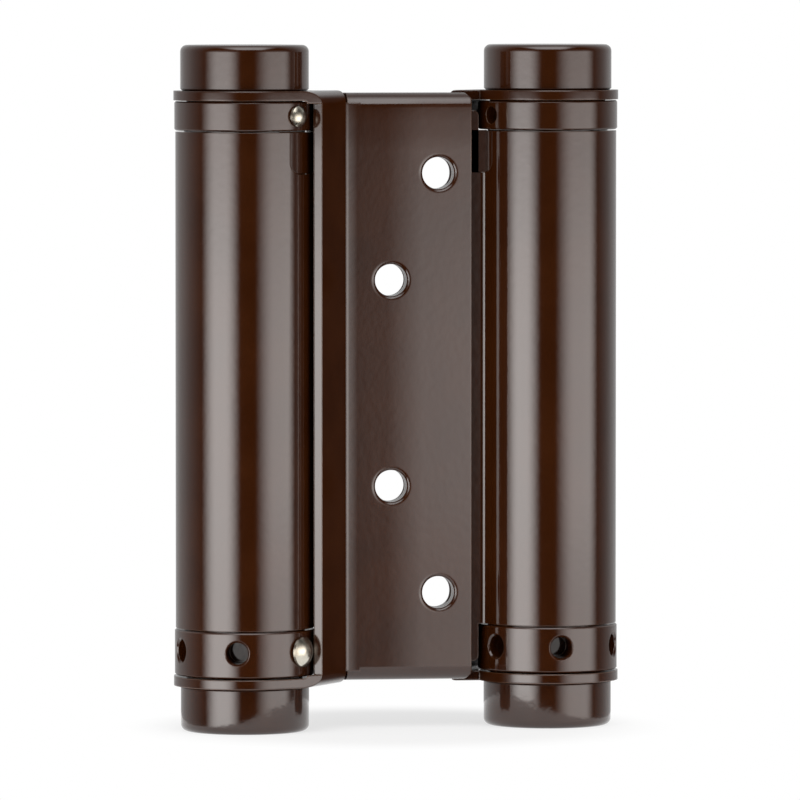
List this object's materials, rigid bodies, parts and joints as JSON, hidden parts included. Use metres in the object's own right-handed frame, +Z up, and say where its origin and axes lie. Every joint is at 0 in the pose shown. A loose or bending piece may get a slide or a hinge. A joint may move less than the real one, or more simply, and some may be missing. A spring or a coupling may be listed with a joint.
{
  "type": "double-acting spring hinge",
  "caption": "Double-acting spring hinge with two sprung barrels joined by one rolled centre plate, a pressed leaf on each barrel and tension collars with tommy-bar holes.",
  "frame": {"origin": "On the floor plane midway between the two barrels, at the middle of the centre plate", "axes": "+X from the left to the right barrel, -Y towards the front leaf, +Z up along the barrels"},
  "size_m": [0.0954, 0.0385, 0.1442],
  "materials": {
    "brown_enamel": "glossy dark brown baked enamel over steel",
    "bright_nickel": "bright nickel plate",
    "spring_steel": "oiled dark spring steel",
    "machined_steel": "turned bright steel"
  },
  "bodies": {
    "centre": {"centre_plate": "brown_enamel", "left_spring_anchor": "brown_enamel", "left_spring": "spring_steel", "right_spring_anchor": "brown_enamel", "right_spring": "spring_steel"},
    "front": {"front_leaf": "brown_enamel", "left_spindle": "machined_steel", "left_top_cap": "brown_enamel", "left_bottom_cap": "brown_enamel", "left_upper_collar": "brown_enamel", "left_upper_pin": "bright_nickel"},
    "rear": {"rear_leaf": "brown_enamel", "right_spindle": "machined_steel", "right_top_cap": "brown_enamel", "right_bottom_cap": "brown_enamel", "right_upper_collar": "brown_enamel", "right_upper_pin": "bright_nickel"},
    "left_adjuster": {"left_tension_collar": "brown_enamel", "left_tension_pin": "bright_nickel"},
    "right_adjuster": {"right_tension_collar": "brown_enamel", "right_tension_pin": "bright_nickel"}
  },
  "joints": [
    {"name": "front_leaf_swing", "type": "hinge", "parent": "centre", "child": "front", "pos_m": [-0.03275, -0.0035, 0.0729], "axis": [0, 0, -1], "range_deg": [0, 110], "stiffness_Nm_per_rad": 0.35, "springref_deg": -51.57, "deforming": ["left_spring"]},
    {"name": "rear_leaf_swing", "type": "hinge", "parent": "centre", "child": "rear", "pos_m": [0.03275, 0.0035, 0.0729], "axis": [0, 0, -1], "range_deg": [0, 110], "stiffness_Nm_per_rad": 0.35, "springref_deg": -51.57, "deforming": ["right_spring"]},
    {"name": "left_tension_turn", "type": "hinge", "parent": "front", "child": "left_adjuster", "pos_m": [-0.03275, -0.0035, 0.01715], "axis": [0, 0, -1], "range_deg": [0, 60]},
    {"name": "right_tension_turn", "type": "hinge", "parent": "rear", "child": "right_adjuster", "pos_m": [0.03275, 0.0035, 0.01715], "axis": [0, 0, -1], "range_deg": [-43, 60]}
  ]
}
